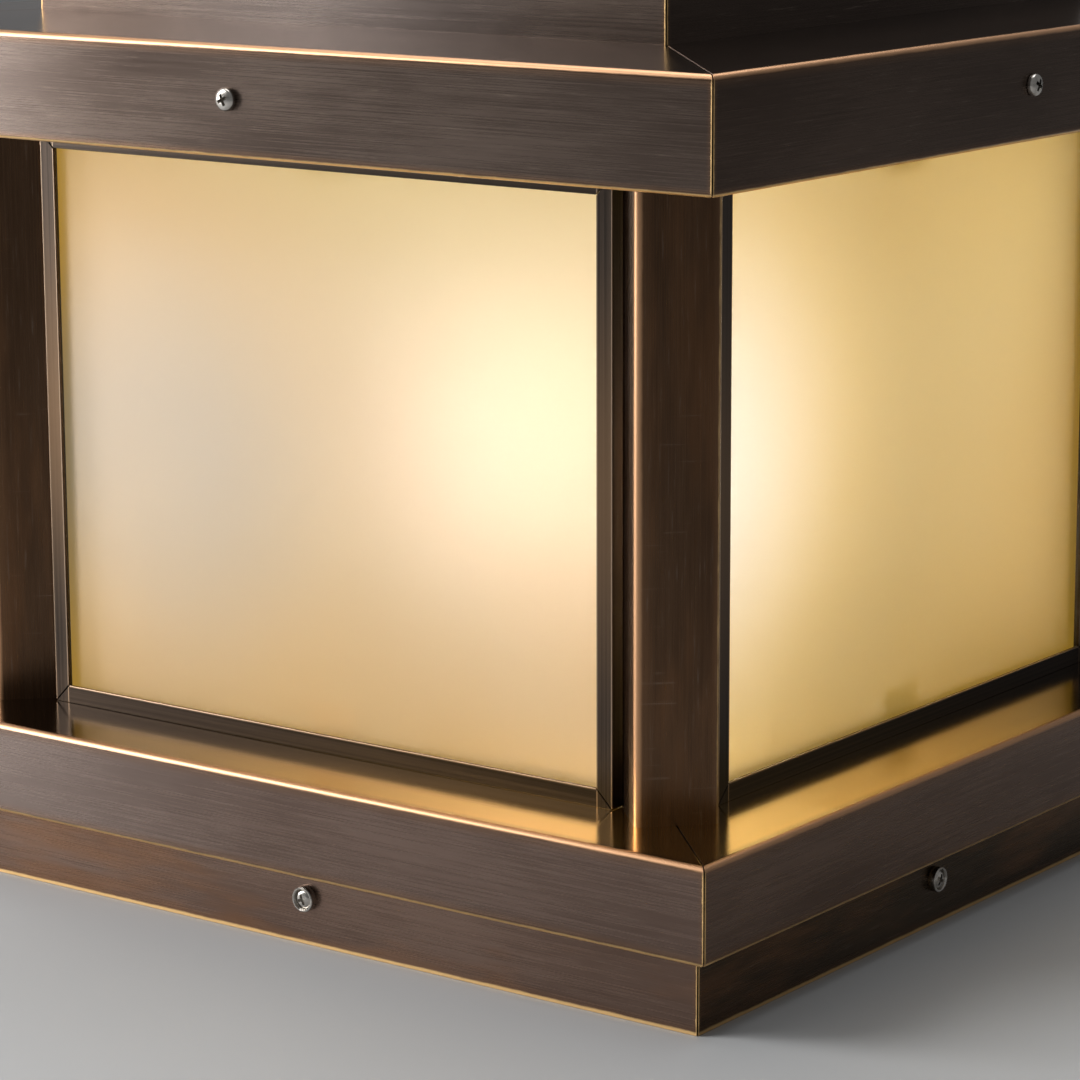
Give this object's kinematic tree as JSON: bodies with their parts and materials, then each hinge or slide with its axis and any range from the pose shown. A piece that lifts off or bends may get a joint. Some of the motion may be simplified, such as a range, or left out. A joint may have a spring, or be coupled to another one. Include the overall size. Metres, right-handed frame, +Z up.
{
  "type": "pier lantern",
  "caption": "Square pier-top lantern in brushed antique bronze with frosted amber panes, a screw-in lamp and a roof that lifts off.",
  "frame": {"origin": "centre of the foot, at the level of the skirt's lower rim", "axes": "+Z up; -Y out of the front pane, the left-hand face in the picture; +X out of the right-hand pane"},
  "size_m": [0.3044, 0.3044, 0.317],
  "materials": {
    "antique_bronze": "brushed antique bronze, rubbed to copper on the edges",
    "black_channel": "satin near-black",
    "sealing_strip": "dull black sealing strip",
    "amber_pane": "frosted amber glass",
    "plated_steel": "zinc plated",
    "soft_rubber": "matt black",
    "bright_steel": "bright stainless",
    "brass": "plain brass",
    "porcelain": "white glazed porcelain",
    "block_plastic": "off-white plastic",
    "lamp_diffuser": "opal diffuser",
    "lamp_housing": "white plastic",
    "lamp_metal": "nickel plated",
    "lamp_insulator": "black vitrite",
    "lead_brown": "brown insulation",
    "lead_blue": "blue insulation",
    "lead_green": "green and yellow insulation"
  },
  "bodies": {
    "lantern": {"cable_grommet": "soft_rubber", "earth_screw": "brass", "floor_plate": "plated_steel", "head_ring": "plated_steel", "lampholder_body": "porcelain", "lampholder_contact": "brass", "lampholder_screws": "bright_steel", "lampholder_shell": "brass", "lead_earth": "lead_green", "lead_live": "lead_brown", "lead_neutral": "lead_blue", "lower_band_back": "antique_bronze", "lower_band_front": "antique_bronze", "lower_band_left": "antique_bronze", "lower_band_right": "antique_bronze", "mounting_plate": "plated_steel", "pane_back": "amber_pane", "pane_bracket_screws": "bright_steel", "pane_brackets": "plated_steel", "pane_frame_back": "black_channel", "pane_frame_front": "black_channel", "pane_frame_left": "black_channel", "pane_frame_right": "black_channel", "pane_front": "amber_pane", "pane_left": "amber_pane", "pane_right": "amber_pane", "pane_seals": "sealing_strip", "post_back_left": "antique_bronze", "post_back_right": "antique_bronze", "post_front_left": "antique_bronze", "post_front_right": "antique_bronze", "post_screws": "bright_steel", "roof_gasket": "soft_rubber", "skirt_back": "antique_bronze", "skirt_front": "antique_bronze", "skirt_left": "antique_bronze", "skirt_nuts": "bright_steel", "skirt_right": "antique_bronze", "skirt_screws": "bright_steel", "skirt_washers": "bright_steel", "terminal_block": "block_plastic"},
    "roof": {"upper_band_front": "antique_bronze", "upper_band_right": "antique_bronze", "upper_band_back": "antique_bronze", "upper_band_left": "antique_bronze", "riser_front": "antique_bronze", "riser_right": "antique_bronze", "riser_back": "antique_bronze", "riser_left": "antique_bronze", "roof_cover": "antique_bronze", "roof_cover_screws": "bright_steel", "roof_screws": "bright_steel", "roof_nuts": "bright_steel"},
    "lamp_tip": {"lamp_tip": "lamp_metal"},
    "lamp": {"lamp_cap": "lamp_metal", "lamp_insulator": "lamp_insulator", "lamp_housing": "lamp_housing", "lamp_diffuser": "lamp_diffuser"}
  },
  "joints": [
    {"name": "roof_lift", "type": "slide", "parent": "lantern", "child": "roof", "axis": [0, 0, 1], "range_m": [0, 0.09]},
    {"name": "lamp_climb", "type": "slide", "parent": "lantern", "child": "lamp_tip", "axis": [0, 0, 1], "range_m": [0, 0.02]},
    {"name": "lamp_turn", "type": "hinge", "parent": "lamp_tip", "child": "lamp", "pos_m": [0, 0, 0.1], "axis": [0, 0, 1], "range_deg": [0, 1980]}
  ],
  "couplings": [
    {"joint": "lamp_climb", "follows": "lamp_turn", "m_per_rad": 0.000577}
  ]
}
